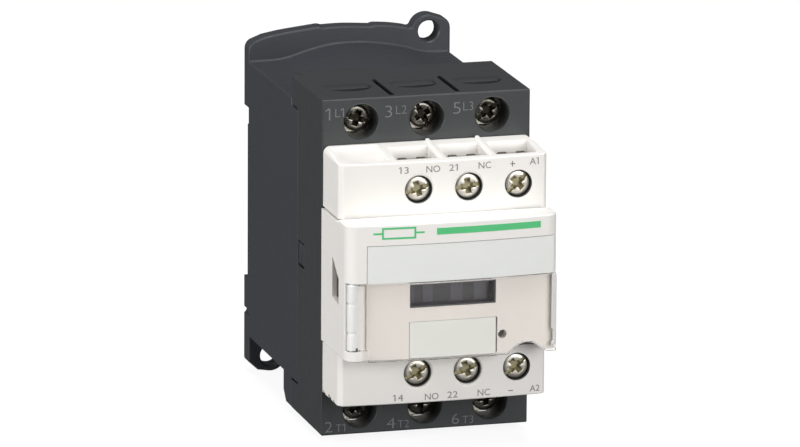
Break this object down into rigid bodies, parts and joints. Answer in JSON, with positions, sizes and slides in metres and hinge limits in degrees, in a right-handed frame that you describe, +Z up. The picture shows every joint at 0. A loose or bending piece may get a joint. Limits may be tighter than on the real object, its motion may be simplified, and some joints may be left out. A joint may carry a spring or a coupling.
{
  "type": "din rail contactor",
  "caption": "Compact contactor for a DIN rail: dark base and terminal block, white front with screw terminals and a clear hinged flap.",
  "frame": {"origin": "on the mounting plane at the back, at the middle of the contact block's width and height", "axes": "+Y points back into the panel or rail, so the front faces -Y; +Z is up as mounted, with the line terminals at the top; +X is to the right seen from the front"},
  "size_m": [0.0456, 0.0858, 0.0772],
  "materials": {
    "base_polyamide": "fine-grained moulded polyamide, dark purple-grey",
    "charcoal_polyamide": "fine-grained moulded polyamide, charcoal",
    "white_polycarbonate": "satin moulded polycarbonate, warm white",
    "label_card": "satin printed plate, white",
    "clear_polycarbonate": "clear glossy polycarbonate",
    "carrier_polyamide": "moulded polyamide, near black",
    "spring_steel": "drawn spring wire",
    "plated_steel": "zinc-nickel plated steel, slightly olive",
    "tinned_copper": "stamped copper alloy with silver contact tips",
    "silicon_steel": "riveted silicon steel laminations",
    "shading_copper": "copper",
    "bobbin_nylon": "natural glass-filled nylon",
    "enamelled_copper": "enamelled winding wire",
    "cushion_rubber": "moulded rubber"
  },
  "bodies": {
    "housing": {"mounting_base": "base_polyamide", "contact_block": "charcoal_polyamide", "terminal_housing": "white_polycarbonate", "front_cover": "white_polycarbonate", "marker_plate": "label_card", "rating_label": "label_card", "fixed_core": "silicon_steel", "shading_ring_left": "shading_copper", "shading_ring_right": "shading_copper", "core_cushion": "cushion_rubber", "coil_bobbin": "bobbin_nylon", "coil_winding": "enamelled_copper", "return_spring_upper": "spring_steel", "return_spring_lower": "spring_steel", "rail_clip_spring": "spring_steel", "coil_terminal_a1": "tinned_copper", "coil_terminal_a2": "tinned_copper", "line_contact_1": "tinned_copper", "load_contact_1": "tinned_copper", "line_contact_2": "tinned_copper", "load_contact_2": "tinned_copper", "line_contact_3": "tinned_copper", "load_contact_3": "tinned_copper", "aux_contact_13": "tinned_copper", "aux_contact_14": "tinned_copper", "aux_contact_21": "tinned_copper", "aux_contact_22": "tinned_copper"},
    "carrier": {"contact_carrier": "carrier_polyamide", "armature": "silicon_steel", "armature_key": "plated_steel", "bridge_spring_1": "spring_steel", "bridge_spring_2": "spring_steel", "bridge_spring_3": "spring_steel", "aux_spring_no": "spring_steel", "aux_spring_nc": "spring_steel"},
    "flap": {"front_flap": "clear_polycarbonate"},
    "rail_catch": {"rail_clip": "charcoal_polyamide"},
    "aux_bridge_no": {"aux_bridge_no": "tinned_copper"},
    "aux_bridge_nc": {"aux_bridge_nc": "tinned_copper"},
    "power_bridge_1": {"power_bridge_1": "tinned_copper"},
    "line_clamp_1": {"line_clamp_1": "plated_steel"},
    "line_screw_1": {"line_screw_1": "plated_steel"},
    "load_clamp_1": {"load_clamp_1": "plated_steel"},
    "load_screw_1": {"load_screw_1": "plated_steel"},
    "power_bridge_2": {"power_bridge_2": "tinned_copper"},
    "line_clamp_2": {"line_clamp_2": "plated_steel"},
    "line_screw_2": {"line_screw_2": "plated_steel"},
    "load_clamp_2": {"load_clamp_2": "plated_steel"},
    "load_screw_2": {"load_screw_2": "plated_steel"},
    "power_bridge_3": {"power_bridge_3": "tinned_copper"},
    "line_clamp_3": {"line_clamp_3": "plated_steel"},
    "line_screw_3": {"line_screw_3": "plated_steel"},
    "load_clamp_3": {"load_clamp_3": "plated_steel"},
    "load_screw_3": {"load_screw_3": "plated_steel"},
    "terminal_screw_13": {"terminal_screw_13": "plated_steel"},
    "terminal_screw_21": {"terminal_screw_21": "plated_steel"},
    "terminal_screw_a1": {"terminal_screw_a1": "plated_steel"},
    "terminal_screw_14": {"terminal_screw_14": "plated_steel"},
    "terminal_screw_22": {"terminal_screw_22": "plated_steel"},
    "terminal_screw_a2": {"terminal_screw_a2": "plated_steel"}
  },
  "joints": [
    {"name": "carrier_slide", "type": "slide", "parent": "housing", "child": "carrier", "axis": [0, 1, 0], "range_m": [0, 0.0054], "stiffness_N_per_m": 800, "springref_m": -0.003, "deforming": ["return_spring_upper", "return_spring_lower"]},
    {"name": "flap_hinge", "type": "hinge", "parent": "housing", "child": "flap", "pos_m": [-0.0212, -0.0835, 0], "axis": [0, 0, -1], "range_deg": [0, 110]},
    {"name": "rail_catch_slide", "type": "slide", "parent": "housing", "child": "rail_catch", "axis": [0, 0, -1], "range_m": [0, 0.003], "stiffness_N_per_m": 1500, "springref_m": -0.002, "deforming": ["rail_clip_spring"]},
    {"name": "power_bridge_1_slide", "type": "slide", "parent": "carrier", "child": "power_bridge_1", "axis": [0, 1, 0], "range_m": [-0.00246, 0], "deforming": ["bridge_spring_1"]},
    {"name": "power_bridge_2_slide", "type": "slide", "parent": "carrier", "child": "power_bridge_2", "axis": [0, 1, 0], "range_m": [-0.00246, 0], "deforming": ["bridge_spring_2"]},
    {"name": "power_bridge_3_slide", "type": "slide", "parent": "carrier", "child": "power_bridge_3", "axis": [0, 1, 0], "range_m": [-0.00246, 0], "deforming": ["bridge_spring_3"]},
    {"name": "aux_bridge_no_slide", "type": "slide", "parent": "carrier", "child": "aux_bridge_no", "axis": [0, 1, 0], "range_m": [-0.00246, 0], "deforming": ["aux_spring_no"]},
    {"name": "aux_bridge_nc_slide", "type": "slide", "parent": "carrier", "child": "aux_bridge_nc", "axis": [0, 1, 0], "range_m": [-0.00246, 0], "deforming": ["aux_spring_nc"]},
    {"name": "line_clamp_1_slide", "type": "slide", "parent": "housing", "child": "line_clamp_1", "axis": [0, 1, 0], "range_m": [0, 0.003]},
    {"name": "line_screw_1_turn", "type": "hinge", "parent": "line_clamp_1", "child": "line_screw_1", "pos_m": [-0.0141, -0.055, 0.031], "axis": [0, 1, 0], "range_deg": [0, 1800]},
    {"name": "line_clamp_2_slide", "type": "slide", "parent": "housing", "child": "line_clamp_2", "axis": [0, 1, 0], "range_m": [0, 0.003]},
    {"name": "line_screw_2_turn", "type": "hinge", "parent": "line_clamp_2", "child": "line_screw_2", "pos_m": [0.0001, -0.055, 0.031], "axis": [0, 1, 0], "range_deg": [0, 1800]},
    {"name": "line_clamp_3_slide", "type": "slide", "parent": "housing", "child": "line_clamp_3", "axis": [0, 1, 0], "range_m": [0, 0.003]},
    {"name": "line_screw_3_turn", "type": "hinge", "parent": "line_clamp_3", "child": "line_screw_3", "pos_m": [0.0143, -0.055, 0.031], "axis": [0, 1, 0], "range_deg": [0, 1800]},
    {"name": "load_clamp_1_slide", "type": "slide", "parent": "housing", "child": "load_clamp_1", "axis": [0, 1, 0], "range_m": [0, 0.003]},
    {"name": "load_screw_1_turn", "type": "hinge", "parent": "load_clamp_1", "child": "load_screw_1", "pos_m": [-0.0141, -0.055, -0.031], "axis": [0, 1, 0], "range_deg": [0, 1800]},
    {"name": "load_clamp_2_slide", "type": "slide", "parent": "housing", "child": "load_clamp_2", "axis": [0, 1, 0], "range_m": [0, 0.003]},
    {"name": "load_screw_2_turn", "type": "hinge", "parent": "load_clamp_2", "child": "load_screw_2", "pos_m": [0.0001, -0.055, -0.031], "axis": [0, 1, 0], "range_deg": [0, 1800]},
    {"name": "load_clamp_3_slide", "type": "slide", "parent": "housing", "child": "load_clamp_3", "axis": [0, 1, 0], "range_m": [0, 0.003]},
    {"name": "load_screw_3_turn", "type": "hinge", "parent": "load_clamp_3", "child": "load_screw_3", "pos_m": [0.0143, -0.055, -0.031], "axis": [0, 1, 0], "range_deg": [0, 1800]},
    {"name": "terminal_screw_13_turn", "type": "hinge", "parent": "housing", "child": "terminal_screw_13", "pos_m": [-0.0054, -0.07, 0.0191], "axis": [0, 1, 0], "range_deg": [0, 1440]},
    {"name": "terminal_screw_21_turn", "type": "hinge", "parent": "housing", "child": "terminal_screw_21", "pos_m": [0.0054, -0.07, 0.0191], "axis": [0, 1, 0], "range_deg": [0, 1440]},
    {"name": "terminal_screw_a1_turn", "type": "hinge", "parent": "housing", "child": "terminal_screw_a1", "pos_m": [0.0161, -0.07, 0.0191], "axis": [0, 1, 0], "range_deg": [0, 1440]},
    {"name": "terminal_screw_14_turn", "type": "hinge", "parent": "housing", "child": "terminal_screw_14", "pos_m": [-0.0054, -0.07, -0.0201], "axis": [0, 1, 0], "range_deg": [0, 1440]},
    {"name": "terminal_screw_22_turn", "type": "hinge", "parent": "housing", "child": "terminal_screw_22", "pos_m": [0.0054, -0.07, -0.0201], "axis": [0, 1, 0], "range_deg": [0, 1440]},
    {"name": "terminal_screw_a2_turn", "type": "hinge", "parent": "housing", "child": "terminal_screw_a2", "pos_m": [0.0161, -0.07, -0.0201], "axis": [0, 1, 0], "range_deg": [0, 1440]}
  ],
  "couplings": [
    {"joint": "power_bridge_1_slide", "follows": "carrier_slide", "ratio": -0.4545},
    {"joint": "power_bridge_2_slide", "follows": "carrier_slide", "ratio": -0.4545},
    {"joint": "power_bridge_3_slide", "follows": "carrier_slide", "ratio": -0.4545},
    {"joint": "aux_bridge_no_slide", "follows": "carrier_slide", "ratio": -0.4545},
    {"joint": "aux_bridge_nc_slide", "follows": "carrier_slide", "ratio": -0.4545},
    {"joint": "line_screw_1_turn", "follows": "line_clamp_1_slide", "rad_per_m": 10470},
    {"joint": "line_screw_2_turn", "follows": "line_clamp_2_slide", "rad_per_m": 10470},
    {"joint": "line_screw_3_turn", "follows": "line_clamp_3_slide", "rad_per_m": 10470},
    {"joint": "load_screw_1_turn", "follows": "load_clamp_1_slide", "rad_per_m": 10470},
    {"joint": "load_screw_2_turn", "follows": "load_clamp_2_slide", "rad_per_m": 10470},
    {"joint": "load_screw_3_turn", "follows": "load_clamp_3_slide", "rad_per_m": 10470}
  ]
}
